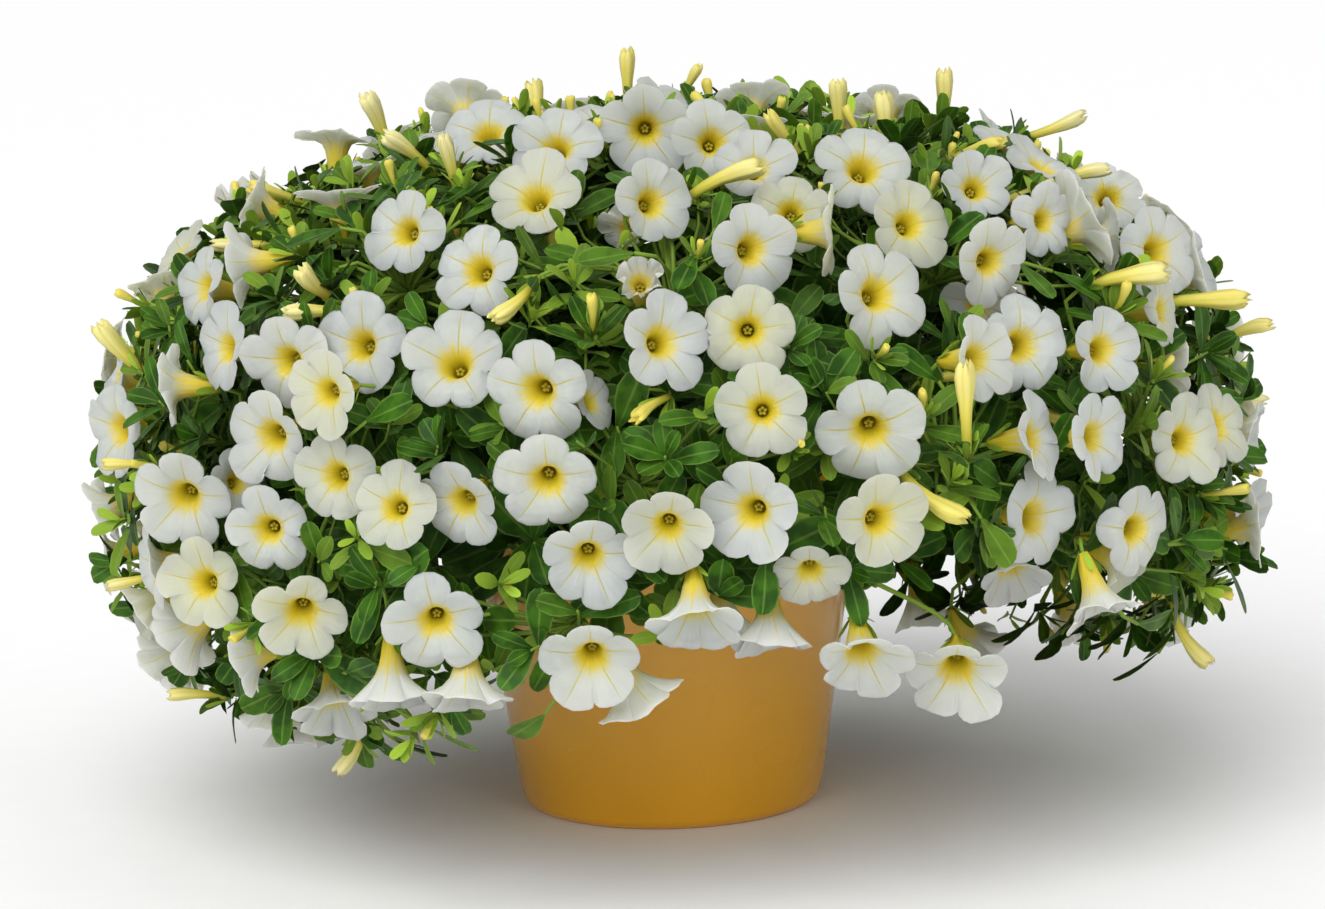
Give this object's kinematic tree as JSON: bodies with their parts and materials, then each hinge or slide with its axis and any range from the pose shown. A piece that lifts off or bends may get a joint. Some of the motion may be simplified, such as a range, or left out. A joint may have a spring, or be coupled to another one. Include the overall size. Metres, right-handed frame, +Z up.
{
  "type": "potted calibrachoa",
  "caption": "Calibrachoa in a glossy tapered pot: a broad dome of white, yellow-throated blooms, buds and small leaves on shoots that fan out of the soil.",
  "frame": {"origin": "centre of the pot's underside, on the surface that it stands on", "axes": "+Z up, -Y towards the front, +X to the right as seen from the front"},
  "size_m": [0.3865, 0.3917, 0.2434],
  "materials": {
    "pot": "glossy golden ochre",
    "soil": "dark crumbly potting mix",
    "foliage": "fresh green leaves with a soft sheen",
    "petals": "white petals with yellow veins and a deep yellow throat",
    "buds": "pale yellow folded buds"
  },
  "bodies": {
    "root": {"pot": "pot", "potting_soil": "soil", "flowering_shoot_01": "foliage", "flowering_shoot_02": "foliage", "flowering_shoot_03": "foliage", "flowering_shoot_04": "foliage", "flowering_shoot_05": "foliage", "flowering_shoot_06": "foliage", "flowering_shoot_07": "foliage", "flowering_shoot_08": "foliage", "flowering_shoot_09": "foliage", "flowering_shoot_10": "foliage", "flowering_shoot_11": "foliage", "flowering_shoot_12": "foliage", "flowering_shoot_13": "foliage", "flowering_shoot_14": "foliage", "flowering_shoot_15": "foliage", "flowering_shoot_16": "foliage", "flowering_shoot_17": "foliage", "flowering_shoot_18": "foliage", "flowering_shoot_19": "foliage", "flowering_shoot_20": "foliage", "flowering_shoot_21": "foliage", "flowering_shoot_22": "foliage", "flowering_shoot_23": "foliage", "flowering_shoot_24": "foliage", "flowering_shoot_25": "foliage", "flowering_shoot_26": "foliage", "flowering_shoot_27": "foliage", "flowering_shoot_28": "foliage", "flowering_shoot_29": "foliage", "flowering_shoot_30": "foliage", "flowering_shoot_31": "foliage", "flowering_shoot_32": "foliage", "flowering_shoot_33": "foliage", "flowering_shoot_34": "foliage", "flowering_shoot_35": "foliage", "flowering_shoot_36": "foliage", "flowering_shoot_37": "foliage", "flowering_shoot_38": "foliage"}
  },
  "joints": []
}
